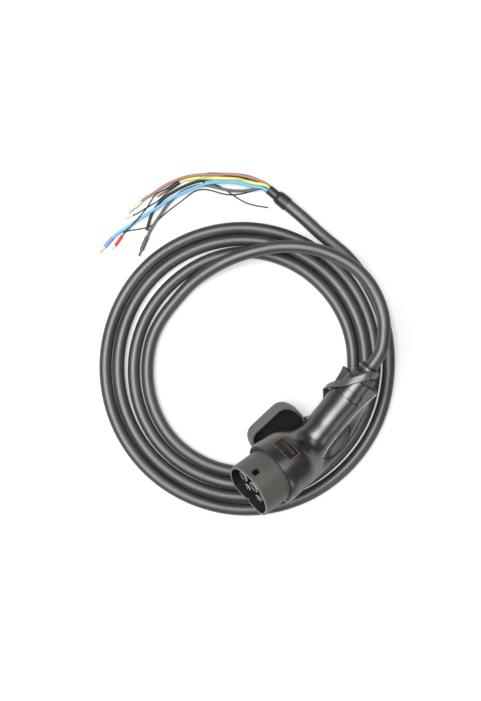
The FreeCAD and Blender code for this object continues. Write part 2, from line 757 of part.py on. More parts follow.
# Each conductor: its place on the boot's end face, its route, and the sleeve it ends in
conductors = {
    "core_brown": (92.0, core_ring_r, (
        (9.5, 222.6, 8.6), (-6.1, 227.6, 8.0), (-24.0, 229.6, 7.6), (-47.9, 228.9, 8.2),
        (-69.3, 227.7, 8.8), (-88.5, 222.4, 7.4), (-105.5, 213.8, 5.5), (-117.1, 205.8, 3.4),
    ), "brown"),
    "core_earth": (20.0, core_ring_r, (
        (4.7, 218.1, 9.8), (-10.8, 223.4, 8.4), (-30.0, 224.8, 7.6), (-51.5, 224.5, 7.8),
        (-67.1, 224.8, 6.5),
    ), "earth"),
    "core_blue": (308.0, core_ring_r, (
        (5.9, 213.5, 8.8), (-10.8, 218.9, 7.8), (-32.4, 220.4, 7.4), (-51.5, 218.4, 7.4),
        (-70.6, 211.2, 7.4), (-92.1, 201.1, 7.5), (-108.8, 189.9, 7.5), (-118.4, 184.0, 7.3),
        (-129.4, 177.6, 5.8), (-142.8, 168.7, 4.2), (-153.7, 161.6, 3.6),
    ), "blue"),
    "core_grey": (236.0, core_ring_r, (
        (11.9, 212.6, 5.4), (-3.6, 210.1, 3.8), (-21.6, 210.1, 3.7), (-38.4, 214.2, 3.7),
        (-54.0, 218.0, 3.7), (-70.8, 214.2, 3.7), (-84.4, 207.0, 3.7), (-96.4, 195.7, 3.7),
        (-105.0, 183.7, 3.7), (-114.0, 170.5, 3.7),
    ), "grey"),
    "core_black": (164.0, core_ring_r, (
        (7.1, 223.8, 4.4), (-9.6, 227.1, 3.8), (-27.6, 226.9, 3.7), (-45.6, 225.1, 3.7),
        (-60.0, 222.1, 3.7), (-74.4, 217.8, 3.7), (-93.6, 207.7, 3.7), (-103.2, 201.0, 3.7),
        (-110.4, 192.8, 3.7), (-116.7, 183.2, 3.7), (-120.0, 174.1, 3.7), (-122.7, 162.6, 3.6),
    ), None),
    "wire_a": (200.0, wire_ring_r, (
        (9.6, 211.9, 0.9), (-0.0, 209.5, 0.9), (-10.8, 206.6, 2.0), (-21.7, 205.4, 3.1),
        (-32.5, 207.0, 2.2), (-44.6, 211.2, 0.9), (-55.4, 213.1, 0.9), (-67.4, 210.0, 0.9),
        (-80.7, 198.9, 0.9), (-93.9, 189.3, 0.9), (-106.5, 178.7, 0.9), (-117.4, 168.1, 0.9),
        (-130.0, 164.9, 0.9), (-142.1, 163.5, 0.9), (-151.7, 161.3, 0.9),
    ), None),
    "wire_f": (128.0, wire_ring_r, (
        (11.4, 224.6, 2.0), (-1.2, 229.5, 0.9), (-15.7, 231.6, 0.9), (-32.5, 232.1, 0.9),
        (-48.2, 232.4, 0.9), (-55.4, 231.1, 0.9), (-59.5, 227.1, 0.9), (-57.3, 222.2, 0.9),
        (-51.8, 220.1, 0.9), (-42.1, 219.1, 0.9), (-33.7, 215.5, 0.9), (-25.3, 210.0, 0.9),
        (-15.7, 203.0, 0.9), (-4.8, 196.7, 0.9), (7.2, 192.9, 0.9), (22.9, 190.7, 0.9),
    ), None),
    "wire_c": ("earth", -1.95, (
        (-112.3, 206.5, 4.6), (-118.0, 197.5, 4.4), (-122.8, 188.7, 5.6), (-129.1, 180.5, 8.0),
        (-136.1, 172.6, 9.0), (-144.3, 164.1, 6.2),
    ), "red"),
    "wire_e": ("earth", 1.95, (
        (-105.3, 202.2, 1.2), (-113.6, 196.0, 0.9), (-123.4, 190.5, 0.9), (-131.5, 185.6, 0.9),
    ), "pale"),
}


def core_points(name):
    """A conductor's route from the boot's end face to its own end."""
    deg, r, route, end = conductors[name]
    if deg == "earth":
        points = [core_ends["earth"].face_point(r, 0.0), core_ends["earth"].face_point(r, 4.0)]
    else:
        across, up = ring_position(deg, r)
        points = [boot_point(across, up), boot_point(across, up, 7.0)]
    points += [Vector(x, y, z) for x, y, z in route]
    if end:
        points += core_ends[end].last_points()
    return points


# Conductors inside the handle, from each contact's barrel to the cable's end

def inner_core_points(name):
    y, z, power = contacts[name]
    start = contact_back - crimp_bore_depth + 0.5
    deg = inner_ring[name]
    ring_r = 0.0 if deg is None else core_ring_r
    ry = 0.0 if deg is None else ring_r * math.cos(math.radians(deg))
    rz = 0.0 if deg is None else ring_r * math.sin(math.radians(deg))
    if not power:
        ry = ry * wire_ring_r / core_ring_r
        rz = rz * wire_ring_r / core_ring_r
    points = [axis_frame(start, y, z), axis_frame(62.0, y, z)]
    for s, share in ((76.0, 0.72), (92.0, 0.30), (108.0, 0.08)):
        points.append(axis_frame(s, ry + (y - ry) * share, rz + (z - rz) * share))
    points.append(axis_frame(126.0, ry, rz))
    points.append(axis_frame(cable_in_handle, ry, rz))
    return points


inner_ring = {"l1": 198.0, "n": 342.0, "l2": 126.0, "l3": 54.0, "pe": 270.0, "cp": 306.0, "pp": 234.0}


# Cap and strap

def cap_place():
    """The cap's own frame has x up out of its opening and z towards the round side."""
    h = math.radians(cap_heading)
    t = math.radians(cap_tilt)
    up = Vector(math.sin(t) * math.cos(h), math.sin(t) * math.sin(h), math.cos(t))
    across = Vector(math.cos(t) * math.cos(h), math.cos(t) * math.sin(h), -math.sin(t))
    side = across.cross(up)
    return FreeCAD.Placement(FreeCAD.Matrix(
        up.x, side.x, across.x, cap_at.x,
        up.y, side.y, across.y, cap_at.y,
        up.z, side.z, across.z, cap_at.z,
        0, 0, 0, 1,
    ))


def make_protective_cap():
    """A soft cup that fits over the mouth, with a bead round its rim."""
    cup = d_prism(0, cap_height, cap_gap + cap_wall)
    floor_edges = [e for e in cup.Edges if e.BoundBox.XMax < 0.01]
    cup = cup.makeFillet(1.6, floor_edges)
    rim_edges = [e for e in cup.Edges if e.BoundBox.XMin > cap_height - 0.01]
    cup = cup.makeFillet(0.9, rim_edges)
    cup = cup.cut(d_prism(cap_floor, cap_height + 1, cap_gap))
    cup.Placement = cap_place()
    return cup


def strap_section(centre, along, outward):
    """A rectangular section of the strap, square to its run."""
    along = unit(along)
    outward = unit(outward - along * along.dot(outward))
    across = along.cross(outward)
    corners = []
    for w, t in ((-1, -1), (1, -1), (1, 1), (-1, 1), (-1, -1)):
        corners.append(centre + across * (w * strap_w / 2) + outward * (t * strap_thick / 2))
    return Part.makePolygon(corners)


def make_cap_strap():
    """A loop round the strain relief and a flat band over the handle to the cap."""
    turn = FreeCAD.Rotation(connector_yaw, connector_slope, connector_roll)
    centres = []
    outwards = []
    for s, deg, r in strap_over_handle:
        a = math.radians(deg)
        centres.append(world(axis_frame(s, r * math.cos(a), r * math.sin(a))))
        radial = axis_frame(s, math.cos(a), math.sin(a)) - axis_frame(s)
        outwards.append(turn.multVec(radial))
    for x, y, z, nx, ny, nz in strap_to_cap:
        centres.append(Vector(x, y, z))
        outwards.append(Vector(nx, ny, nz))
    wires = []
    for i, centre in enumerate(centres):
        before = centres[max(i - 1, 0)]
        after = centres[min(i + 1, len(centres) - 1)]
        wires.append(strap_section(centre, after - before, outwards[i]))
    band = Part.makeLoft(wires, True, False)
    ring_start = strap_ring_at - strap_ring_w / 2
    loop = handle_rod(ring_start, ring_start + strap_ring_w, relief_r + 0.1 + strap_ring_thick)
    bore = handle_rod(strap_ring_at - strap_ring_w, strap_ring_at + strap_ring_w, relief_r + 0.1)
    loop = placed(loop)
    bore = placed(bore)
    strap = band.fuse(loop).cut(bore)
    solids = sorted(strap.Solids, key=lambda solid: solid.Volume)
    return solids[-1].removeSplitter() if len(solids) > 1 else strap.removeSplitter()


# The strap over the handle: place along the axis, angle from the left over the top, and radius
strap_over_handle = (
    (199.0, 168.0, 12.5), (198.8, 150.0, 13.6), (197.4, 131.0, 16.4), (193.6, 118.0, 19.0),
    (183.4, 98.5, 19.6), (173.0, 78.0, 20.6), (162.0, 49.0, 22.4), (153.5, 22.0, 24.4),
    (147.5, -1.0, 25.8), (141.5, -24.0, 29.0), (135.0, -39.0, 33.8), (127.0, -51.7, 34.4),
)

# From under the handle to the cap: place, and the direction the band's face looks
strap_to_cap = (
    (82.6, -59.6, 25.4, -0.3, -0.1, 0.95),
    (75.0, -60.8, 21.8, -0.3, -0.1, 0.95),
    (65.75, -63.55, 18.5, -0.2, 0.0, 0.98),
)


def save(shape, name):
    shape.exportStep("parts/" + name + ".step")
    box = shape.BoundBox
    print(
        name, len(shape.Solids), shape.isValid(), round(shape.Volume, 1),
        "z", round(box.ZMin, 2), round(box.ZMax, 2),
    )


def main():
    os.makedirs("parts", exist_ok=True)
    save(placed(make_mating_shroud()), "mating_shroud")
    save(placed(make_contact_carrier()), "contact_carrier")
    save(placed(make_contact_retainer()), "contact_retainer")
    save(placed(make_nose_seal()), "nose_seal")
    for name in contacts:
        save(placed(make_contact(name)), "contact_" + name)
    round_outer = round_half(housing_stations, 0, 0).cut(front_slab(-5.0, 0.0))
    flat_outer = flat_half(housing_stations, 0, -parting_gap).cut(front_slab(-parting_gap, 5.0))
    save(placed(make_housing_upper(round_outer)), "housing_upper")
    save(placed(make_housing_lower(flat_outer)), "housing_lower")
    save(placed(make_label_plate(round_outer)), "label_plate")
    screws = [placed(make_screw(s, y)) for s, y in screw_places]
    save(Part.makeCompound(screws), "housing_screws")
    save(placed(make_cable_gland()), "cable_gland")
    save(placed(make_gland_nut()), "gland_nut")
    save(placed(make_strain_relief()), "strain_relief")
    inner_end = handle_rod(cable_in_handle, body_end + relief_end, cable_d / 2)
    save(placed(inner_end), "cable_end_in_handle")
    for name in contacts:
        power = contacts[name][2]
        tube = cord(inner_core_points(name), core_r if power else wire_r, "inner_core_" + name)
        save(placed(tube), "inner_core_" + name)
    save(make_cable_coil(), "cable_coil")
    save(cord(connector_lead_points(), cable_d / 2, "cable_to_connector"), "cable_to_connector")
    save(cord(free_lead_points(), cable_d / 2, "cable_free_end"), "cable_free_end")
    save(make_heat_shrink_collar(), "heat_shrink_collar")
    save(make_core_boot(), "core_boot")
    for name in conductors:
        thin = name.startswith("wire")
        save(cord(core_points(name), wire_r if thin else core_r, name), name)
    for name, end in core_ends.items():
        save(end.sleeve(), name + "_sleeve")
        save(end.tip(), name + "_tip")
    save(make_protective_cap(), "protective_cap")
    save(make_cap_strap(), "cap_strap")


main()
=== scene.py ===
"""A coiled charging cable for an electric car: its looks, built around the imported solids."""

import math

import bmesh
import bpy
from mathutils import Euler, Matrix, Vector


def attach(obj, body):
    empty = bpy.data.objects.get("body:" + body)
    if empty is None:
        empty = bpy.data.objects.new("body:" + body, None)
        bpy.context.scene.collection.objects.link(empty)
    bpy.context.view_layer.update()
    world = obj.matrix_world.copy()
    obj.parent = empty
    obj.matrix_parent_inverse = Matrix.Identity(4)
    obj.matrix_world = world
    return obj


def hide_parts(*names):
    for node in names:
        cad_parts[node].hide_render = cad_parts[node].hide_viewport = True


bl_info = {
    "name": "Charging cable",
    "version": (1, 0, 0),
    "blender": (4, 5, 0),
    "location": "View3D > Sidebar > Charging cable",
    "description": "Dresses the solids of a charging cable, its connector, cap and stripped end",
    "category": "Object",
}

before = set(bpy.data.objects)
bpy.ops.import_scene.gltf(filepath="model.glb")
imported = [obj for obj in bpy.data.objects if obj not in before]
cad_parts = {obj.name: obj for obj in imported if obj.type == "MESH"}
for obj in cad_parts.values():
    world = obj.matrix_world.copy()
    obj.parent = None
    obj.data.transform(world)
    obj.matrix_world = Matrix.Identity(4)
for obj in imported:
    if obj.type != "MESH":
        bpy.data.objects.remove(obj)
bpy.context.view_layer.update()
BODY = "root"
MM = 0.001

# Sizes and places are in millimetres and angles in degrees, but for the stage's, in metres

# How the connector lies: middle of its mouth, and its roll, slope and yaw
MOUTH_AT = Vector((-1.98, -133.75, 91.5))
CONNECTOR_TURN = Euler((math.radians(-31.4), math.radians(25.0), math.radians(32.6)), "XYZ")

# The connector's axis: a bend behind the head, and a straight handle to the strain relief
BEND_START = 68.0
BEND_LENGTH = 40.0
BEND_DEG = 42.0
RELIEF_END = 203.0

# The coil on the floor: radius every 45 degrees, from the cable's landing at 135 degrees
COIL_FIRST_ANGLE = 135.0
COIL_STEP = 45.0
COIL_RADII = (
    119.5, 121.2, 127.0, 127.2, 124.5, 124.2, 129.0, 136.4,
    134.8, 137.6, 142.2, 141.5, 137.5, 137.0, 143.4, 150.6,
    156.0, 156.3, 157.8, 156.4, 150.5, 149.5, 157.4, 165.0,
    171.0, 171.6, 172.6, 171.4, 167.4, 166.4, 174.4,
)

# Where one turn rides up between its neighbours: half steps along the coil, and height gained
COIL_LIFTS = {22: 3.0, 23: 5.0, 24: 7.0, 25: 7.5, 26: 7.0, 27: 5.0, 28: 3.0, 29: 1.5}

# The raised lead over the coil: radius and angle about the coil's middle, and height
LEAD_OVER_COIL = (
    (149.6, 11.1, 81.0),
    (157.9, 20.7, 81.0),
    (162.6, 33.6, 76.5),
    (162.3, 45.5, 66.5),
    (155.0, 60.4, 52.5),
    (144.8, 75.2, 39.0),
    (134.2, 89.1, 28.0),
    (128.6, 99.6, 22.6),
    (124.6, 108.5, 18.4),
    (122.0, 117.0, 13.6),
)

# The lead from the coil to the stripped end
FREE_LEAD = ((86.5, 156.5, 7.4), (71.5, 170.8, 7.9))

# Half width of the housing at its parting plane, by distance along the axis
SEAM_WIDTHS = (
    (60.0, 35.6), (66.0, 34.3), (72.0, 32.6), (77.0, 30.1), (82.0, 27.4), (87.0, 24.8),
    (92.0, 22.6), (102.0, 19.9), (116.0, 19.2), (134.0, 19.4), (152.0, 20.2), (168.0, 22.0),
    (183.6, 24.9),
)

# Rolled edges beside the joint: their heights, how far they stand out, and their radius
SEAM_HEIGHTS = (0.45, -0.85)
SEAM_PROUD = 0.02
SEAM_BEAD_R = 0.48

# Edge of the finger recess on the flat half's flank: distance along the axis, height
RECESS_OUTLINE = (
    (90.0, -2.6), (108.0, -2.3), (131.0, -2.6), (135.5, -5.0), (133.0, -10.0), (125.0, -15.5),
    (114.0, -18.0), (103.0, -15.5), (94.5, -9.5),
)

# Line of painted shade along that edge: its radius, its steps from point to point, and how far
# out of the axis the search for the flank starts
RECESS_SHADE_R = 0.55
RECESS_STEPS = 5
RECESS_LOOK = 60.0

# Cap: middle of its floor outside, heading, tilt, and thickness of the floor
CAP_AT = Vector((29.8, -73.0, 15.96))
CAP_HEADING = -47.0
CAP_TILT = 27.0
CAP_FLOOR = 2.5

# Depth of the hollow nose behind its mouth, which sets how deep its inside is painted in shade
NOSE_DEPTH = 60.0

# Faces inside a hollow piece that are painted in shade: how squarely walls look to the middle
# and the floor looks out, and the heights between which the floor lies, as shares of its own height
CUP_WALL_FACES = 0.3
CUP_FLOOR_FACES = 0.7
CUP_FLOOR_FROM = 0.9
CUP_FLOOR_TO = 1.6

# Strap's band: width, thickness, corners, and steps from place to place
STRAP_WIDTH = 8.0
STRAP_THICK = 2.4
STRAP_CORNER = 0.95
STRAP_STEPS = 6

# Strap's loop on the relief: distance along the axis, radius, section, and steps round it
STRAP_RING_AT = 199.0
STRAP_RING_R = 11.15
STRAP_RING_WIDTH = 3.6
STRAP_RING_THICK = 1.4
STRAP_RING_CORNER = 0.5
STRAP_RING_STEPS = 72

# Strap's way over the handle: distance along the axis, angle and distance from it
STRAP_OVER_HANDLE = (
    (199.0, 168.0, 12.5), (198.8, 150.0, 13.6), (197.4, 131.0, 16.4), (193.6, 118.0, 19.0),
    (184.0, 98.5, 19.6), (174.5, 78.0, 20.6), (164.5, 49.0, 21.9), (157.0, 24.0, 24.0),
    (151.5, 2.0, 26.8), (147.5, -20.0, 30.5), (139.5, -37.0, 33.8), (127.0, -51.7, 34.4),
)

# Strap's way down to the cap: places, each with the direction away from the handle
STRAP_TO_CAP = (
    ((82.6, -59.6, 25.4), (-0.3, -0.1, 0.95)),
    ((75.0, -60.8, 21.8), (-0.3, -0.1, 0.95)),
    ((65.75, -63.55, 18.5), (-0.2, 0.0, 0.98)),
)

# Where the jacket is stripped: start of the collar, its heading, and sizes along it
STRIP_AT = Vector((46.0, 192.7, 8.35))
STRIP_HEADING = 141.0
COLLAR_HOLD = 12.5
COLLAR_LENGTH = 17.0
BOOT_LENGTH = 12.0
CORE_RING = 3.5
WIRE_RING = 4.8

# Straight runs of the routes: off the relief, to the landing, to the strip, out of the boot,
# and at an end sleeve
RELIEF_RUN = 16.0
LANDING_RUN = 14.0
STRIP_RUN = 14.0
BOOT_RUN = 7.0
SLEEVE_RUN = 4.0

# Each end sleeve: x, y, heading, radius and length of the sleeve, radius and length of the tip
CORE_ENDS = {
    "brown": (-129.2, 198.1, 222.7, 2.4, 10.6, 1.2, 10.6),
    "blue": (-163.7, 154.4, 229.5, 2.4, 15.0, 1.2, 9.4),
    "earth": (-83.9, 221.1, 214.3, 2.8, 15.0, 1.0, 17.0),
    "grey": (-122.3, 155.3, 246.5, 2.6, 17.5, 1.3, 7.7),
    "red": (-152.5, 156.6, 235.0, 1.9, 14.6, 0.8, 6.0),
    "pale": (-139.6, 181.2, 202.8, 1.4, 7.0, 0.7, 5.4),
}
SLEEVE_REST = 0.05

# Each conductor: its place on the boot's end face, its route, and the sleeve it ends in
CONDUCTORS = {
    "core_brown": (92.0, CORE_RING, (
        (9.5, 222.6, 8.6), (-6.1, 227.6, 8.0), (-24.0, 229.6, 7.6), (-47.9, 228.9, 8.2),
        (-69.3, 227.7, 8.8), (-88.5, 222.4, 7.4), (-105.5, 213.8, 5.5), (-117.1, 205.8, 3.4),
    ), "brown"),
    "core_earth": (20.0, CORE_RING, (
        (4.7, 218.1, 9.8), (-10.8, 223.4, 8.4), (-30.0, 224.8, 7.6), (-51.5, 224.5, 7.8),
        (-67.1, 224.8, 6.5),
    ), "earth"),
    "core_blue": (308.0, CORE_RING, (
        (5.9, 213.5, 8.8), (-10.8, 218.9, 7.8), (-32.4, 220.4, 7.4), (-51.5, 218.4, 7.4),
        (-70.6, 211.2, 7.4), (-92.1, 201.1, 7.5), (-108.8, 189.9, 7.5), (-118.4, 184.0, 7.3),
        (-129.4, 177.6, 5.8), (-142.8, 168.7, 4.2), (-153.7, 161.6, 3.6),
    ), "blue"),
    "core_grey": (236.0, CORE_RING, (
        (11.9, 212.6, 5.4), (-3.6, 210.1, 3.8), (-21.6, 210.1, 3.7), (-38.4, 214.2, 3.7),
        (-54.0, 218.0, 3.7), (-70.8, 214.2, 3.7), (-84.4, 207.0, 3.7), (-96.4, 195.7, 3.7),
        (-105.0, 183.7, 3.7), (-114.0, 170.5, 3.7),
    ), "grey"),
    "core_black": (164.0, CORE_RING, (
        (7.1, 223.8, 4.4), (-9.6, 227.1, 3.8), (-27.6, 226.9, 3.7), (-45.6, 225.1, 3.7),
        (-60.0, 222.1, 3.7), (-74.4, 217.8, 3.7), (-93.6, 207.7, 3.7), (-103.2, 201.0, 3.7),
        (-110.4, 192.8, 3.7), (-116.7, 183.2, 3.7), (-120.0, 174.1, 3.7), (-122.7, 162.6, 3.6),
    ), None),
    "wire_a": (200.0, WIRE_RING, (
        (9.6, 211.9, 0.9), (0.0, 209.5, 0.9), (-10.8, 206.6, 2.0), (-21.7, 205.4, 3.1),
        (-32.5, 207.0, 2.2), (-44.6, 211.2, 0.9), (-55.4, 213.1, 0.9), (-67.4, 210.0, 0.9),
        (-80.7, 198.9, 0.9), (-93.9, 189.3, 0.9), (-106.5, 178.7, 0.9), (-117.4, 168.1, 0.9),
        (-130.0, 164.9, 0.9), (-142.1, 163.5, 0.9), (-151.7, 161.3, 0.9),
    ), None),
    "wire_f": (128.0, WIRE_RING, (
        (11.4, 224.6, 2.0), (-1.2, 229.5, 0.9), (-15.7, 231.6, 0.9), (-32.5, 232.1, 0.9),
        (-48.2, 232.4, 0.9), (-55.4, 231.1, 0.9), (-59.5, 227.1, 0.9), (-57.3, 222.2, 0.9),
        (-51.8, 220.1, 0.9), (-42.1, 219.1, 0.9), (-33.7, 215.5, 0.9), (-25.3, 210.0, 0.9),
        (-15.7, 203.0, 0.9), (-4.8, 196.7, 0.9), (7.2, 192.9, 0.9), (22.9, 190.7, 0.9),
    ), None),
    "wire_c": ("earth", -1.95, (
        (-112.3, 206.5, 4.6), (-118.0, 197.5, 4.4), (-122.8, 188.7, 5.6), (-129.1, 180.5, 8.0),
        (-136.1, 172.6, 9.0), (-144.3, 164.1, 6.2),
    ), "red"),
    "wire_e": ("earth", 1.95, (
        (-105.3, 202.2, 1.2), (-113.6, 196.0, 0.9), (-123.4, 190.5, 0.9), (-131.5, 185.6, 0.9),
    ), "pale"),
}

# Insulation of the conductors inside the handle
INNER_CORES = {
    "inner_core_pe": "earth", "inner_core_n": "blue", "inner_core_l1": "brown",
    "inner_core_l2": "black", "inner_core_l3": "grey", "inner_core_cp": "wire",
    "inner_core_pp": "wire",
}

# Each end sleeve: its colour, the colour of its tip, and how deep the tip's strands are
END_FINISHES = {
    "brown": ((0.72, 0.66, 0.52), (0.72, 0.66, 0.46), 0.25),
    "blue": ((0.20, 0.30, 0.66), (0.80, 0.70, 0.50), 0.25),
    "earth": ((0.018, 0.018, 0.018), (0.80, 0.52, 0.38), 0.7),
    "grey": ((0.060, 0.115, 0.085), (0.16, 0.18, 0.17), 0.25),
    "red": ((0.62, 0.035, 0.025), (0.66, 0.60, 0.52), 0.25),
    "pale": ((0.74, 0.68, 0.56), (0.82, 0.74, 0.62), 0.25),
}

# Earth conductor's stripe: its turns over the cord's length, and its share of the way round
STRIPE_TURNS = 3.0
STRIPE_SHARE = 0.3

# Label, in the connector's own frame: its middle, half its size, its frame and its colours
LABEL_MIDDLE = (52.6, 0.0)
LABEL_HALF_X = 8.0
LABEL_HALF_Y = 14.5
LABEL_FRAME_INSETS = (0.5, 0.95)
LABEL_COLOUR = (0.015, 0.012, 0.010)
LABEL_FRAME_COLOUR = (0.27, 0.20, 0.155)
LABEL_FIELD_COLOUR = (0.30, 0.215, 0.17)

# Each plain field on it: middle, half its size, and strength of its tint
LABEL_FIELDS = (
    ((48.9, 4.2), 1.9, 7.4, 0.08), ((54.4, -1.2), 2.1, 9.6, 0.20), ((57.4, 6.0), 0.8, 4.6, 0.14),
)

# Node groups, the kinds of their sockets, and how fine the grain is where nothing else is said
GRAIN = "moulded_grain"
HANDLED = "handled_surface"
STRANDS = "copper_strands"
NUMBER = "NodeSocketFloat"
COLOUR = "NodeSocketColor"
GRAIN_SCALE = 2600.0

# Dust and scuffs
DUST_COLOUR = (0.42, 0.41, 0.38)

# Camera: height of the photo, what one of its pixels covers on the floor, and place
PHOTO_HEIGHT_PX = 701
MM_PER_PX = 1.205
CAMERA_X = -0.01024
CAMERA_Y = 0.01868

# Floor: half its size, how far it lies below the cable, and its colour
FLOOR_HALF = 4.0
FLOOR_DROP = 0.0004
FLOOR_COLOUR = (0.66, 0.66, 0.66)

# Glow of the floor near the cable, the distances between which it rises to white, its share
# in reflections, and the light of the room
FLOOR_GLOW = 0.34
FLOOR_GLOW_RISE = (0.30, 0.95)
GLOSSY_GLOW = 0.3
ROOM_LEVEL = 0.08
WHITE = (1.0, 1.0, 1.0)

# Lamps: place, side and power
LAMPS = (
    ("key_lamp", (-0.42, 0.13, 1.40), 1.0, 23.0),
    ("left_lamp", (-0.66, -0.58, 1.25), 0.75, 7.0),
    ("right_lamp", (0.62, 0.62, 1.25), 0.75, 3.5),
    ("low_lamp", (0.9, -1.1, 0.9), 0.8, 3.0),
)


# What a user may change

class ChargingCableSizes(bpy.types.PropertyGroup):
    jacket_d: bpy.props.FloatProperty(
        name="Jacket", description="Outer diameter of the cable", default=0.0146, unit="LENGTH")
    core_d: bpy.props.FloatProperty(
        name="Core", description="Diameter of a power conductor over its insulation",
        default=0.0036, unit="LENGTH")
    wire_d: bpy.props.FloatProperty(
        name="Wire", description="Diameter of a signal wire over its insulation",
        default=0.0016, unit="LENGTH")
    camera_height: bpy.props.FloatProperty(
        name="Camera height", description="Height of the camera above the floor",
        default=0.9, unit="LENGTH")


def colour_property(name, words, colour):
    return bpy.props.FloatVectorProperty(
        name=name, description=words, subtype="COLOR", size=3, min=0, max=1, default=colour)


class ChargingCableColours(bpy.types.PropertyGroup):
    jacket: colour_property("Jacket", "Rubber of the cable's jacket", (0.016, 0.0155, 0.0138))
    housing: colour_property("Housing", "Plastic of the handle", (0.015, 0.0145, 0.0145))
    shroud: colour_property("Shroud", "Plastic of the mating nose", (0.082, 0.077, 0.071))
    # Also the colour of the painted shade inside the nose
    inside: colour_property("Inside", "Plastic that holds the contacts", (0.009, 0.009, 0.009))
    cap: colour_property("Cap", "Rubber of the protective cap", (0.110, 0.109, 0.104))
    strap: colour_property("Strap", "Rubber of the cap's strap", (0.070, 0.070, 0.069))
    brown: colour_property("Brown core", "Insulation of the brown conductor", (0.40, 0.205, 0.150))
    blue: colour_property("Blue core", "Insulation of the blue conductor", (0.13, 0.50, 0.83))
    yellow: colour_property("Yellow stripe", "Yellow of the earth conductor", (0.86, 0.80, 0.20))
    green: colour_property("Green stripe", "Green of the earth conductor", (0.42, 0.56, 0.16))
    grey: colour_property("Grey core", "Insulation of the grey conductor", (0.105, 0.110, 0.110))


def context_sizes():
    return bpy.context.scene.charging_cable_sizes


def context_colours():
    return bpy.context.scene.charging_cable_colours


# Nodes that the materials are made of

def feed(tree, socket, value):
    """Link an output to a socket, or set a number or a colour on the socket itself."""
    if hasattr(value, "links"):
        tree.links.new(value, socket)
    elif isinstance(value, (int, float)):
        socket.default_value = value
    else:
        socket.default_value = (*value, 1.0)


def feed_all(tree, node, values):
    """Feed a node's sockets by their labels."""
    for label, value in values.items():
        feed(tree, node.inputs[label], value)
    return node


def object_place(tree):
    """Where a point of the surface is, in its object's coordinates."""
    return tree.nodes.new("ShaderNodeTexCoord").outputs["Object"]


def math_node(tree, operation, first, second=None, clamp=False):
    node = tree.nodes.new("ShaderNodeMath")
    node.operation = operation
    node.use_clamp = clamp
    feed(tree, node.inputs[0], first)
    if second is not None:
        feed(tree, node.inputs[1], second)
    return node.outputs[0]


def mix_colour(tree, factor, first, second):
    """Mix two colours. This node has its factor at input 0 and its colours at 6 and 7."""
    node = tree.nodes.new("ShaderNodeMix")
    node.data_type = "RGBA"
    for index, value in ((0, factor), (6, first), (7, second)):
        feed(tree, node.inputs[index], value)
    return node.outputs[2]


def noise_node(tree, vector, scale, detail, roughness):
    node = feed_all(tree, tree.nodes.new("ShaderNodeTexNoise"), {
        "Vector": vector, "Scale": scale, "Detail": detail, "Roughness": roughness})
    return node.outputs["Fac"]


def range_node(tree, value, from_low, from_high, to_low=0.0, to_high=1.0):
    node = feed_all(tree, tree.nodes.new("ShaderNodeMapRange"), {
        "Value": value, "From Min": from_low, "From Max": from_high,
        "To Min": to_low, "To Max": to_high})
    return node.outputs["Result"]


# Node groups that several materials share

def group_with(name, inputs, outputs):
    """A shader node group, with the sockets that it is given and those that it feeds."""
    group = bpy.data.node_groups.new(name, "ShaderNodeTree")
    for label, kind, value in inputs:
        socket = group.interface.new_socket(label, in_out="INPUT", socket_type=kind)
        if value is not None:
            socket.default_value = value
    for label, kind in outputs:
        group.interface.new_socket(label, in_out="OUTPUT", socket_type=kind)
    given = group.nodes.new("NodeGroupInput").outputs
    made = group.nodes.new("NodeGroupOutput").inputs
    return group, given, made


def moulded_grain_group():
    """The fine eroded grain of a mould on plastic or rubber, as a height and an uneven gloss."""
    group, given, made = group_with(
        GRAIN,
        (("Scale", NUMBER, GRAIN_SCALE), ("Roughness", NUMBER, 0.5),
         ("Gloss change", NUMBER, 0.06)),
        (("Height", NUMBER), ("Roughness", NUMBER)),
    )
    place = object_place(group)
    feed(group, made["Height"], noise_node(group, place, given["Scale"], 3.0, 0.6))
    broad = noise_node(group, place, 46.0, 4.0, 0.55)
    swing = math_node(group, "MULTIPLY", math_node(group, "SUBTRACT", broad, 0.5), 2.0)
    swing = math_node(group, "MULTIPLY", swing, given["Gloss change"])
    total = math_node(group, "ADD", given["Roughness"], swing, clamp=True)
    feed(group, made["Roughness"], total)


def handled_group():
    """Light dust in patches and small pale scuffs over a base colour."""
    group, given, made = group_with(
        HANDLED,
        (("Colour", COLOUR, None), ("Dust", NUMBER, 0.05), ("Scuffs", NUMBER, 0.08)),
        (("Colour", COLOUR),),
    )
    place = object_place(group)
    patches = range_node(group, noise_node(group, place, 18.0, 5.0, 0.6), 0.42, 0.72)
    specks = range_node(group, noise_node(group, place, 900.0, 2.0, 0.5), 0.66, 0.74)
    scratch = range_node(group, noise_node(group, place, 210.0, 6.0, 0.75), 0.63, 0.71)
    patches = math_node(group, "MULTIPLY", patches, given["Dust"])
    specks = math_node(group, "MULTIPLY", specks, given["Dust"])
    scuffs = math_node(group, "MULTIPLY", scratch, given["Scuffs"])
    dust = math_node(group, "ADD", patches, specks, clamp=True)
    mask = math_node(group, "MAXIMUM", dust, scuffs)
    feed(group, made["Colour"], mix_colour(group, mask, given["Colour"], DUST_COLOUR))


def copper_strands_group():
    """Fine strands twisted round a bare conductor, as a height."""
    group, given, made = group_with(
        STRANDS,
        (("Scale", NUMBER, 1500.0), ("Distortion", NUMBER, 1.2)),
        (("Height", NUMBER),),
    )
    wave = group.nodes.new("ShaderNodeTexWave")
    wave.bands_direction = "DIAGONAL"
    feed_all(group, wave, {
        "Vector": object_place(group), "Scale": given["Scale"], "Distortion": given["Distortion"]})
    feed(group, made["Height"], wave.outputs["Fac"])


def add_group(tree, name, values):
    node = tree.nodes.new("ShaderNodeGroup")
    node.node_tree = bpy.data.node_groups[name]
    return feed_all(tree, node, values)


# Materials

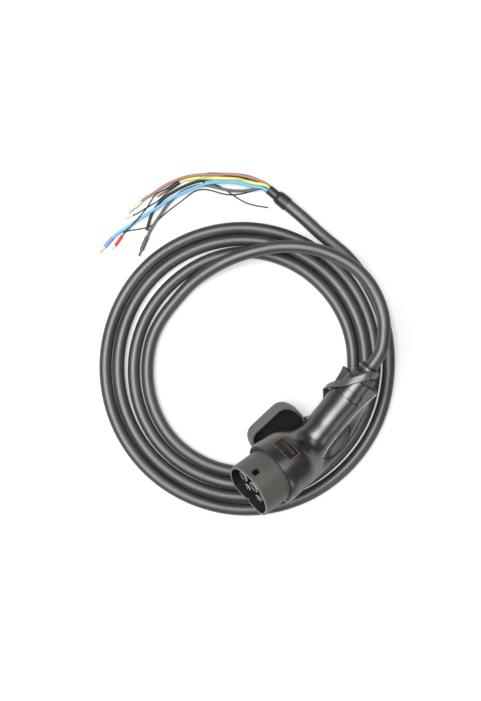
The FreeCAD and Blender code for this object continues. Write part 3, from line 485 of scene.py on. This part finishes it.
def new_material(name, metallic=0.0, specular=0.5, ior=1.5, coat=0.0, coat_roughness=0.1):
    """A material, with the values that are the same all over its surface set on its shader."""
    material = bpy.data.materials.new(name)
    material.use_nodes = True
    tree = material.node_tree
    shader = feed_all(tree, tree.nodes["Principled BSDF"], {
        "Metallic": metallic, "Specular IOR Level": specular, "IOR": ior,
        "Coat Weight": coat, "Coat Roughness": coat_roughness})
    return material, tree, shader


def bump(tree, shader, height, strength, distance=0.0001):
    node = feed_all(tree, tree.nodes.new("ShaderNodeBump"), {
        "Strength": strength, "Distance": distance, "Height": height})
    feed(tree, shader.inputs["Normal"], node.outputs["Normal"])


def finish_surface(tree, shader, colour, roughness, dust, scuffs, grain=GRAIN_SCALE):
    """Put dust, scuffs and uneven gloss on a base colour, and give back the grain's height."""
    handled = add_group(tree, HANDLED, {"Colour": colour, "Dust": dust, "Scuffs": scuffs})
    surface = add_group(tree, GRAIN, {"Scale": grain, "Roughness": roughness})
    feed(tree, shader.inputs["Base Color"], handled.outputs["Colour"])
    feed(tree, shader.inputs["Roughness"], surface.outputs["Roughness"])
    return surface.outputs["Height"]


def moulded_material(
        name, colour, roughness, grain=GRAIN_SCALE, relief=0.25, dust=0.03, scuffs=0.05,
        **gloss):
    """Plastic or rubber from a mould: grain, uneven gloss, a little dust and a few scuffs."""
    material, tree, shader = new_material(name, **gloss)
    height = finish_surface(tree, shader, colour, roughness, dust, scuffs, grain)
    bump(tree, shader, height, relief)
    return material


def metal_material(name, colour, roughness, strands=0.0):
    """Bare metal: drawn strands if it is a stranded conductor, or else fine turned grain."""
    material, tree, shader = new_material(name, metallic=1.0)
    height = finish_surface(tree, shader, colour, roughness, dust=0.02, scuffs=0.1, grain=1800.0)
    if strands:
        lines = add_group(tree, STRANDS, {})
        bump(tree, shader, lines.outputs["Height"], strands, 0.0002)
    else:
        bump(tree, shader, height, 0.15)
    return material


def striped_material(name, yellow, green):
    """Earth insulation: yellow, with green stripes wound slowly round it."""
    material, tree, shader = new_material(name)
    split = tree.nodes.new("ShaderNodeSeparateXYZ")
    feed(tree, split.inputs[0], tree.nodes.new("ShaderNodeTexCoord").outputs["UV"])
    along = math_node(tree, "MULTIPLY", split.outputs["X"], STRIPE_TURNS)
    turned = math_node(tree, "FRACT", math_node(tree, "ADD", along, split.outputs["Y"]))
    stripe = math_node(tree, "LESS_THAN", turned, STRIPE_SHARE)
    colour = mix_colour(tree, stripe, yellow, green)
    height = finish_surface(tree, shader, colour, 0.36, dust=0.02, scuffs=0.04)
    bump(tree, shader, height, 0.1)
    return material


def local_place(tree):
    """Coordinates in the connector's own frame, in mm: x back, y left, z to the round side."""
    turn = tree.nodes.new("ShaderNodeMapping")
    turn.vector_type = "TEXTURE"
    turn.inputs["Location"].default_value = MOUTH_AT * MM
    turn.inputs["Rotation"].default_value = CONNECTOR_TURN
    turn.inputs["Scale"].default_value = (MM, MM, MM)
    feed(tree, turn.inputs["Vector"], object_place(tree))
    split = tree.nodes.new("ShaderNodeSeparateXYZ")
    feed(tree, split.inputs[0], turn.outputs[0])
    return split.outputs


def rim_highlight_material(name, colour, highlight_colour, highlight_from, highlight_to, roughness):
    """Moulded plastic with a pale painted highlight on its edge, between two depths behind the
    mouth.
    """
    material, tree, shader = new_material(name)
    x, _, _ = local_place(tree)
    after = math_node(tree, "GREATER_THAN", x, highlight_from)
    before = math_node(tree, "LESS_THAN", x, highlight_to)
    # Painted highlight: between the two depths the colour is mixed to the paler one
    highlighted = mix_colour(tree, math_node(tree, "MULTIPLY", after, before), colour, highlight_colour)
    height = finish_surface(tree, shader, highlighted, roughness, dust=0.03, scuffs=0.05)
    bump(tree, shader, height, 0.18)
    return material


def rectangle_mask(tree, x, y, middle, half_x, half_y):
    """One inside a rectangle of the label's plane, and nought outside."""
    inside = []
    for value, centre, half in ((x, middle[0], half_x), (y, middle[1], half_y)):
        off = math_node(tree, "ABSOLUTE", math_node(tree, "SUBTRACT", value, centre))
        inside.append(math_node(tree, "LESS_THAN", off, half))
    return math_node(tree, "MULTIPLY", *inside)


def label_material():
    """A dark foil label with a thin copper-coloured frame and plain tinted fields."""
    material, tree, shader = new_material("label_foil", specular=0.3, coat=0.05, coat_roughness=0.2)
    x, y, _ = local_place(tree)
    whole, inner = (
        rectangle_mask(tree, x, y, LABEL_MIDDLE, LABEL_HALF_X - inset, LABEL_HALF_Y - inset)
        for inset in LABEL_FRAME_INSETS)
    border = math_node(tree, "SUBTRACT", whole, inner, clamp=True)
    colour = mix_colour(tree, border, LABEL_COLOUR, LABEL_FRAME_COLOUR)
    mottle = noise_node(tree, object_place(tree), 620.0, 2.0, 0.6)
    mottle = range_node(tree, mottle, 0.35, 0.65, 0.35, 1.0)
    for middle, half_x, half_y, share in LABEL_FIELDS:
        field = rectangle_mask(tree, x, y, middle, half_x, half_y)
        field = math_node(tree, "MULTIPLY", math_node(tree, "MULTIPLY", field, share), mottle)
        colour = mix_colour(tree, field, colour, LABEL_FIELD_COLOUR)
    height = finish_surface(tree, shader, colour, 0.42, dust=0.03, scuffs=0.05, grain=1500.0)
    bump(tree, shader, height, 0.1)
    return material


# Painting solids and making pieces

def link(obj):
    bpy.context.scene.collection.objects.link(obj)
    return obj


def paint(material, *nodes):
    """Give imported solids their finish."""
    for node in nodes:
        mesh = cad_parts[node].data
        mesh.materials.clear()
        mesh.materials.append(material)
        for face in mesh.polygons:
            face.material_index = 0


def paint_hollow_shade(node, outside, inside, base, out, floor_at):
    """Give a hollow solid two finishes: its outer skin, and painted shade on the inside of its cup.
    """
    paint(outside, node)
    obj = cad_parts[node]
    obj.data.materials.append(inside)
    for face in obj.data.polygons:
        place = obj.matrix_world @ face.center - base * MM
        height = place.dot(out)
        radial = place - out * height
        above_floor = height > floor_at * MM * CUP_FLOOR_FROM
        in_wall = face.normal.dot(radial) < -CUP_WALL_FACES * radial.length
        in_floor = face.normal.dot(out) > CUP_FLOOR_FACES and height < floor_at * MM * CUP_FLOOR_TO
        if above_floor and (in_wall or in_floor):
            face.material_index = 1


def round_curve(name, radius, roundness, material):
    """Curve data of a round cord or bead, with its ends closed."""
    curve = bpy.data.curves.new(name, "CURVE")
    curve.dimensions = "3D"
    curve.bevel_depth = radius
    curve.bevel_resolution = roundness
    curve.use_fill_caps = True
    curve.materials.append(material)
    return curve


def add_line(curve, points, resolution, closed=False):
    """Add one smooth line to a curve, with control points in millimetres."""
    spline = curve.splines.new("NURBS")
    spline.points.add(len(points) - 1)
    for control, point in zip(spline.points, points):
        control.co = (*(Vector(point) * MM), 1.0)
    spline.order_u = 3
    spline.use_cyclic_u = closed
    spline.use_endpoint_u = not closed
    spline.resolution_u = resolution


def cord_curve(name, points, diameter, material, resolution=8, roundness=5):
    """A round cord on one smooth line, with points in millimetres."""
    curve = round_curve(name, diameter / 2, roundness, material)
    add_line(curve, points, resolution)
    return link(bpy.data.objects.new(name, curve))


def smooth_places(places, steps):
    """Places between the given ones, on one smooth line through them."""
    dense = []
    last = len(places) - 1
    for i in range(last):
        before, start, end, after = (places[max(min(i + k, last), 0)] for k in (-1, 0, 1, 2))
        for step in range(steps):
            t = step / steps
            dense.append((
                start * 2 + (end - before) * t + (before * 2 - start * 5 + end * 4 - after) * t ** 2
                + (start * 3 - before - end * 3 + after) * t ** 3) / 2)
    dense.append(places[last])
    return dense


def rounded_section(width, thick, corner, per_corner=4):
    """A rectangle's outline with round corners, as pairs across and outward."""
    outline = []
    for quarter in range(4):
        middle_w = (width / 2 - corner) * (1 if quarter in (0, 3) else -1)
        middle_t = (thick / 2 - corner) * (1 if quarter in (0, 1) else -1)
        for step in range(per_corner):
            a = math.pi / 2 * (quarter + step / (per_corner - 1))
            outline.append((middle_w + corner * math.cos(a), middle_t + corner * math.sin(a)))
    return outline


def add_band(form, centres, outwards, section, closed=False):
    """Sweep a section along a line of places, each with its outward direction, into a bmesh."""
    rings = []
    count = len(centres)
    for i, centre in enumerate(centres):
        before = centres[i - 1] if closed or i else centre
        after = centres[(i + 1) % count] if closed or i < count - 1 else centre
        along = (after - before).normalized()
        outward = outwards[i] - along * along.dot(outwards[i])
        outward.normalize()
        across = along.cross(outward)
        rings.append([form.verts.new((centre + across * w + outward * t) * MM) for w, t in section])
    pairs = list(zip(rings, rings[1:]))
    if closed:
        pairs.append((rings[-1], rings[0]))
    size = len(section)
    for first, second in pairs:
        for k in range(size):
            following = (k + 1) % size
            form.faces.new((first[k], first[following], second[following], second[k]))
    if not closed:
        form.faces.new(list(reversed(rings[0])))
        form.faces.new(rings[-1])


def mesh_piece(name, form, material):
    """A mesh object from a bmesh, smooth all over but for its flat ends."""
    bmesh.ops.recalc_face_normals(form, faces=form.faces)
    mesh = bpy.data.meshes.new(name)
    form.to_mesh(mesh)
    form.free()
    for face in mesh.polygons:
        face.use_smooth = len(face.vertices) == 4
    mesh.materials.append(material)
    return link(bpy.data.objects.new(name, mesh))


# Places and directions, in millimetres

def level_direction(degrees):
    a = math.radians(degrees)
    return Vector((math.cos(a), math.sin(a), 0))


def polar(radius, degrees, height):
    """A point by its distance and angle from the coil's middle, and its height."""
    a = math.radians(degrees)
    return Vector((radius * math.cos(a), radius * math.sin(a), height))


def axis_frame(s, y=0.0, z=0.0):
    """A point beside the connector's axis, in its own frame: y left, z to the round side."""
    bend_r = BEND_LENGTH / math.radians(BEND_DEG)
    a = math.radians(BEND_DEG) * min(max(s - BEND_START, 0.0), BEND_LENGTH) / BEND_LENGTH
    beyond = max(s - BEND_START - BEND_LENGTH, 0.0)
    x = min(s, BEND_START) + bend_r * math.sin(a) + beyond * math.cos(a)
    up = bend_r * (1 - math.cos(a)) + beyond * math.sin(a)
    return Vector((x - z * math.sin(a), y, up + z * math.cos(a)))


def laid(point):
    """A point of the connector's own frame, where the connector lies."""
    return MOUTH_AT + CONNECTOR_TURN.to_matrix() @ point


def axis_outward(s, degrees):
    """The direction away from the connector's axis, where the connector lies."""
    a = math.radians(degrees)
    return CONNECTOR_TURN.to_matrix() @ (axis_frame(s, math.cos(a), math.sin(a)) - axis_frame(s))


def cap_outward():
    """The direction out of the cap's opening."""
    tilt = math.radians(CAP_TILT)
    return level_direction(CAP_HEADING) * math.sin(tilt) + Vector((0, 0, math.cos(tilt)))


# Routes

def coil_points(half_d):
    """Control points of the turns, every half step, a little outside the turns' own line."""
    outside = 1 / (0.75 + 0.25 * math.cos(math.radians(COIL_STEP / 2)))
    points = []
    for i in range(1, 2 * len(COIL_RADII) - 1):
        low = COIL_RADII[i // 2]
        high = COIL_RADII[min(i // 2 + i % 2, len(COIL_RADII) - 1)]
        height = half_d + COIL_LIFTS.get(i, 0.0)
        degrees = COIL_FIRST_ANGLE + i * COIL_STEP / 2
        points.append(polar((low + high) / 2 * outside, degrees, height))
    return points


def jacket_points(half_d):
    """The whole cable's route, from the strain relief to the collar at the stripped end."""
    points = [laid(axis_frame(RELIEF_END)), laid(axis_frame(RELIEF_END + RELIEF_RUN))]
    points += [polar(*place) for place in LEAD_OVER_COIL]
    landing = polar(COIL_RADII[0], COIL_FIRST_ANGLE, half_d)
    points.append(landing - level_direction(COIL_FIRST_ANGLE + 90) * LANDING_RUN)
    points += coil_points(half_d)
    points += [Vector(place) for place in FREE_LEAD]
    strip_axis = level_direction(STRIP_HEADING)
    points.append(STRIP_AT - strip_axis * STRIP_RUN)
    points.append(STRIP_AT + strip_axis * COLLAR_HOLD)
    return points


def boot_point(degrees, ring, beyond=0.0):
    """A point on the boot's end face, by its angle from the top and distance from the middle."""
    a = math.radians(degrees)
    along = level_direction(STRIP_HEADING) * (COLLAR_LENGTH + BOOT_LENGTH + beyond)
    across = level_direction(STRIP_HEADING - 90) * (ring * math.sin(a))
    return STRIP_AT + along + across + Vector((0, 0, ring * math.cos(a)))


def end_axis(name):
    """Where an end sleeve starts, and its direction."""
    x, y, heading, sleeve_r = CORE_ENDS[name][:4]
    return Vector((x, y, sleeve_r + SLEEVE_REST)), level_direction(heading)


def conductor_points(name):
    """A conductor's route from the boot's end face, or from the earth sleeve, to its own end."""
    degrees, ring, route, end = CONDUCTORS[name]
    if degrees == "earth":
        start, axis = end_axis("earth")
        face = start + axis * CORE_ENDS["earth"][4] + Vector((-axis.y, axis.x, 0)) * ring
        points = [face, face + axis * SLEEVE_RUN]
    else:
        points = [boot_point(degrees, ring), boot_point(degrees, ring, BOOT_RUN)]
    points += [Vector(place) for place in route]
    if end:
        start, axis = end_axis(end)
        points += [start - axis * SLEEVE_RUN, start + axis * (CORE_ENDS[end][4] / 2)]
    return points


# Operators

class CableStage(bpy.types.Operator):
    """Make the floor, the lamps, the surroundings and the camera"""

    bl_idname = "charging_cable.stage"
    bl_label = "Stage"

    def execute(self, context):
        scene = context.scene
        scene.view_settings.view_transform = "Standard"
        self.floor()
        self.world(scene)
        self.lamps()
        self.camera(scene)
        return {"FINISHED"}

    def floor(self):
        """Pale paper that glows to white where the camera sees it, and more so further out."""
        mesh = bpy.data.meshes.new("floor")
        corners = ((-1, -1), (1, -1), (1, 1), (-1, 1))
        places = [(x * FLOOR_HALF, y * FLOOR_HALF, -FLOOR_DROP) for x, y in corners]
        mesh.from_pydata(places, [], [(0, 1, 2, 3)])
        material, tree, shader = new_material("floor_paper", specular=0.0)
        ways = tree.nodes.new("ShaderNodeLightPath").outputs
        mirrored = math_node(tree, "MULTIPLY", ways["Is Glossy Ray"], GLOSSY_GLOW)
        seen = math_node(tree, "MAXIMUM", ways["Is Camera Ray"], mirrored)
        seen = math_node(tree, "MAXIMUM", seen, ways["Is Transmission Ray"])
        away = tree.nodes.new("ShaderNodeVectorMath")
        away.operation = "LENGTH"
        feed(tree, away.inputs[0], object_place(tree))
        glow = range_node(tree, away.outputs["Value"], *FLOOR_GLOW_RISE, FLOOR_GLOW, 1.0)
        feed_all(tree, shader, {
            "Base Color": FLOOR_COLOUR, "Roughness": 0.9, "Emission Color": WHITE,
            "Emission Strength": math_node(tree, "MULTIPLY", seen, glow)})
        mesh.materials.append(material)
        link(bpy.data.objects.new("floor", mesh))

    def world(self, scene):
        """A dim room that the camera sees as white."""
        world = bpy.data.worlds.new("pale_room")
        world.use_nodes = True
        tree = world.node_tree
        seen = tree.nodes.new("ShaderNodeLightPath").outputs["Is Camera Ray"]
        feed_all(tree, tree.nodes["Background"], {
            "Color": WHITE, "Strength": range_node(tree, seen, 0, 1, ROOM_LEVEL, 1.0)})
        scene.world = world

    def lamps(self):
        for name, place, side, power in LAMPS:
            lamp = bpy.data.lights.new(name, "AREA")
            lamp.shape = "SQUARE"
            lamp.size = side
            lamp.energy = power
            obj = link(bpy.data.objects.new(name, lamp))
            obj.location = place
            obj.rotation_euler = (-Vector(place)).to_track_quat("-Z", "Y").to_euler()

    def camera(self, scene):
        height = context_sizes().camera_height
        data = bpy.data.cameras.new("camera")
        data.sensor_width = 36.0
        data.lens = height / MM * data.sensor_width / (PHOTO_HEIGHT_PX * MM_PER_PX)
        camera = link(bpy.data.objects.new("camera", data))
        camera.location = (CAMERA_X, CAMERA_Y, height)
        scene.camera = camera


class CableJacket(bpy.types.Operator):
    """Lay the whole cable as one cord: over the coil, round its turns, to the stripped end"""

    bl_idname = "charging_cable.jacket"
    bl_label = "Jacket"

    def execute(self, context):
        sizes = context_sizes()
        rubber = moulded_material(
            "jacket_rubber", context_colours().jacket, 0.46,
            grain=900.0, relief=0.10, dust=0.05, specular=1.0, ior=1.62)
        points = jacket_points(sizes.jacket_d / 2 / MM)
        cable = cord_curve("charging_cable", points, sizes.jacket_d, rubber, 10, 10)
        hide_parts("cable_coil", "cable_to_connector", "cable_free_end")
        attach(cable, BODY)
        paint(rubber, "cable_end_in_handle")
        return {"FINISHED"}


class CableConductors(bpy.types.Operator):
    """Lay the stripped conductors and signal wires, each as its own cord"""

    bl_idname = "charging_cable.conductors"
    bl_label = "Conductors"

    def execute(self, context):
        finishes = self.finishes()
        sizes = context_sizes()
        for name, (_, _, _, end) in CONDUCTORS.items():
            is_core = name.startswith("core_")
            kind = name.removeprefix("core_") if is_core else "wire"
            diameter = sizes.core_d if is_core else sizes.wire_d
            points = conductor_points(name)
            piece = cord_curve(name + "_cord", points, diameter, finishes[kind])
            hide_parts(name)
            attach(piece, BODY)
        for node, kind in INNER_CORES.items():
            paint(finishes[kind], node)
        return {"FINISHED"}

    def finishes(self):
        """Each insulation's finish, by its colour."""
        colours = context_colours()
        return {
            "brown": moulded_material(
                "brown_insulation", colours.brown, 0.38, relief=0.1, dust=0.02),
            "blue": moulded_material(
                "blue_insulation", colours.blue, 0.38, relief=0.1, dust=0.02),
            "earth": striped_material("earth_insulation", colours.yellow, colours.green),
            "grey": moulded_material("grey_insulation", colours.grey, 0.40, relief=0.1),
            "black": moulded_material(
                "black_insulation", (0.013, 0.013, 0.013), 0.38, relief=0.1),
            "wire": moulded_material("wire_insulation", (0.009, 0.009, 0.009), 0.42, relief=0.1),
        }


class CableEndSleeves(bpy.types.Operator):
    """Finish the end sleeves, their tips, the shrunk collar and the boot"""

    bl_idname = "charging_cable.end_sleeves"
    bl_label = "End sleeves"

    def execute(self, context):
        for name, (sleeve_colour, tip_colour, strands) in END_FINISHES.items():
            plastic = moulded_material(
                name + "_sleeve_plastic", sleeve_colour, 0.34, relief=0.1, dust=0.02)
            paint(plastic, name + "_sleeve")
            metal = metal_material(name + "_tip_metal", tip_colour, 0.34, strands)
            paint(metal, name + "_tip")
        shrunk = moulded_material(
            "shrunk_tube", (0.020, 0.020, 0.020), 0.33, grain=700.0, relief=0.2, dust=0.05)
        paint(shrunk, "heat_shrink_collar", "core_boot")
        return {"FINISHED"}


class CableConnector(bpy.types.Operator):
    """Finish the connector: shroud, seal, housing, label, screws, gland and strain relief"""

    bl_idname = "charging_cable.connector"
    bl_label = "Connector"

    def execute(self, context):
        colours = context_colours()
        housing = moulded_material(
            "housing_plastic", colours.housing, 0.31,
            grain=2200.0, relief=0.12, dust=0.02, scuffs=0.03, specular=1.0, ior=1.62)
        rubber = moulded_material(
            "seal_rubber", (0.016, 0.016, 0.016), 0.50,
            grain=1800.0, relief=0.2, dust=0.05, scuffs=0.02)
        gland = moulded_material(
            "gland_plastic", (0.026, 0.026, 0.026), 0.34,
            grain=2000.0, relief=0.18, dust=0.05, specular=0.7)
        paint(housing, "housing_upper", "housing_lower")
        paint(rubber, "nose_seal", "strain_relief")
        paint(gland, "cable_gland", "gland_nut")
        paint(metal_material("screw_steel", (0.50, 0.50, 0.50), 0.35), "housing_screws")
        paint(label_material(), "label_plate")
        self.nose(colours)
        self.seam_beads()
        self.recess_shade_line()
        return {"FINISHED"}

    def nose(self, colours):
        """The shroud: grey outside with a painted highlight on its rim, and painted shade inside.
        """
        # Pale painted highlight on the shroud's rim round the mouth
        shroud = rim_highlight_material(
            "shroud_plastic", colours.shroud, (0.14, 0.14, 0.135), -1.0, 0.45, 0.42)
        # Near-black painted shade on the walls inside the nose
        hollow = moulded_material(
            "nose_hollow_painted_shade", colours.inside, 0.50,
            grain=2200.0, relief=0.15, dust=0.02, scuffs=0.03, specular=0.3)
        out = CONNECTOR_TURN.to_matrix() @ Vector((-1, 0, 0))
        paint_hollow_shade("mating_shroud", shroud, hollow, MOUTH_AT, out, -NOSE_DEPTH)

    def seam_beads(self):
        """The fine rolled edges of the two housing halves, along both sides of their joint, pale
        with a painted highlight.
        """
        # Pale painted highlight on the rolled edges
        plastic = moulded_material(
            "housing_edge_painted_highlight", (0.26, 0.26, 0.255), 0.28,
            grain=2200.0, relief=0.1, scuffs=0.04, specular=1.0, ior=1.7)
        curve = round_curve("housing_seam_beads", SEAM_BEAD_R * MM, 3, plastic)
        for side in (1, -1):
            for height in SEAM_HEIGHTS:
                add_line(curve, [
                    laid(axis_frame(s, side * (half_w + SEAM_PROUD), height))
                    for s, half_w in SEAM_WIDTHS], 5)
        beads = link(bpy.data.objects.new("housing_seam_beads", curve))
        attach(beads, BODY)

    def recess_shade_line(self):
        """A near-black line of painted shade round the finger recess, drawn on the flat half's
        right flank.
        """
        # Painted shade: a near-black cord along the recess's edge
        shade_line_finish = moulded_material(
            "recess_edge_painted_shade", (0.006, 0.006, 0.006), 0.55,
            grain=2200.0, relief=0.1, dust=0.01, scuffs=0.01, specular=0.1)
        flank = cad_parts["housing_lower"]
        back = flank.matrix_world.inverted()
        edge = [Vector((s, z, 0)) for s, z in RECESS_OUTLINE + RECESS_OUTLINE[:1]]
        points = []
        for s, z, _ in smooth_places(edge, RECESS_STEPS)[:-1]:
            start = back @ (laid(axis_frame(s, -RECESS_LOOK, z)) * MM)
            aim = back @ (laid(axis_frame(s, 0.0, z)) * MM) - start
            hit, place, _, _ = flank.ray_cast(start, aim.normalized(), distance=aim.length)
            if hit:
                points.append(flank.matrix_world @ place / MM)
        curve = round_curve("recess_edge_painted_shade", RECESS_SHADE_R * MM, 2, shade_line_finish)
        add_line(curve, points, 2, closed=True)
        shade_line = link(bpy.data.objects.new("recess_edge_painted_shade", curve))
        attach(shade_line, BODY)


class CableContacts(bpy.types.Operator):
    """Finish the seven contacts and the mouldings that hold them, with a painted highlight on the
    mouldings' rims
    """

    bl_idname = "charging_cable.contacts"
    bl_label = "Contacts"

    def execute(self, context):
        # Pale painted highlight on the rims of the contact mouldings, 7.03 to 7.72 mm behind the
        # mouth
        inside = rim_highlight_material(
            "contact_plastic", context_colours().inside, (0.42, 0.42, 0.41), 7.03, 7.72, 0.36)
        silver = metal_material("contact_silver", (0.78, 0.77, 0.73), 0.25)
        paint(inside, "contact_carrier", "contact_retainer")
        paint(silver, *("contact_" + name for name in ("pe", "n", "l1", "l2", "l3", "cp", "pp")))
        return {"FINISHED"}


class CableCap(bpy.types.Operator):
    """Finish the protective cap, with painted shade inside its cup, and make its strap"""

    bl_idname = "charging_cable.cap"
    bl_label = "Cap and strap"

    def execute(self, context):
        rubber = moulded_material(
            "cap_rubber", context_colours().cap, 0.50, grain=1500.0, relief=0.22, dust=0.05)
        # Near-black painted shade inside the cap's cup
        hollow = moulded_material(
            "cap_hollow_painted_shade", (0.016, 0.015, 0.013), 0.60,
            grain=1500.0, relief=0.2, dust=0.02, scuffs=0.02, specular=0.25)
        paint_hollow_shade("protective_cap", rubber, hollow, CAP_AT, cap_outward(), CAP_FLOOR)
        self.strap()
        return {"FINISHED"}

    def strap(self):
        """The band over the handle and its loop round the strain relief, with rounded edges."""
        rubber = moulded_material(
            "strap_rubber", context_colours().strap, 0.36,
            grain=1500.0, relief=0.16, dust=0.04, scuffs=0.04, specular=1.0)
        form = bmesh.new()
        self.add_strap_band(form)
        self.add_strap_loop(form)
        band = mesh_piece("cap_strap_band", form, rubber)
        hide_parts("cap_strap")
        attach(band, BODY)

    def add_strap_band(self, form):
        centres = []
        outwards = []
        for s, degrees, radius in STRAP_OVER_HANDLE:
            a = math.radians(degrees)
            centres.append(laid(axis_frame(s, radius * math.cos(a), radius * math.sin(a))))
            outwards.append(axis_outward(s, degrees))
        for place, outward in STRAP_TO_CAP:
            centres.append(Vector(place))
            outwards.append(Vector(outward))
        section = rounded_section(STRAP_WIDTH, STRAP_THICK, STRAP_CORNER)
        centres = smooth_places(centres, STRAP_STEPS)
        add_band(form, centres, smooth_places(outwards, STRAP_STEPS), section)

    def add_strap_loop(self, form):
        middle = laid(axis_frame(STRAP_RING_AT))
        step = 360 / STRAP_RING_STEPS
        outwards = [axis_outward(STRAP_RING_AT, i * step) for i in range(STRAP_RING_STEPS)]
        centres = [middle + outward * (STRAP_RING_R + STRAP_RING_THICK / 2) for outward in outwards]
        section = rounded_section(STRAP_RING_WIDTH, STRAP_RING_THICK, STRAP_RING_CORNER)
        add_band(form, centres, outwards, section, closed=True)


OPERATORS = (
    CableStage, CableJacket, CableConductors, CableEndSleeves, CableConnector, CableContacts,
    CableCap,
)


class CablePanel(bpy.types.Panel):
    bl_idname = "VIEW3D_PT_charging_cable"
    bl_label = "Charging cable"
    bl_space_type = "VIEW_3D"
    bl_region_type = "UI"
    bl_category = "Charging cable"

    def draw(self, context):
        layout = self.layout
        for owner in (context.scene.charging_cable_sizes, context.scene.charging_cable_colours):
            for name in owner.__annotations__:
                layout.prop(owner, name)
        for operator in OPERATORS:
            layout.operator(operator.bl_idname)


CLASSES = (ChargingCableSizes, ChargingCableColours, *OPERATORS, CablePanel)


def register():
    for made in CLASSES:
        bpy.utils.register_class(made)
    bpy.types.Scene.charging_cable_sizes = bpy.props.PointerProperty(type=ChargingCableSizes)
    bpy.types.Scene.charging_cable_colours = bpy.props.PointerProperty(type=ChargingCableColours)


def unregister():
    del bpy.types.Scene.charging_cable_colours
    del bpy.types.Scene.charging_cable_sizes
    for made in reversed(CLASSES):
        bpy.utils.unregister_class(made)


def main():
    register()
    moulded_grain_group()
    handled_group()
    copper_strands_group()
    for operator in OPERATORS:
        group, name = operator.bl_idname.split(".")
        getattr(getattr(bpy.ops, group), name)()


if __name__ == "__main__":
    main()
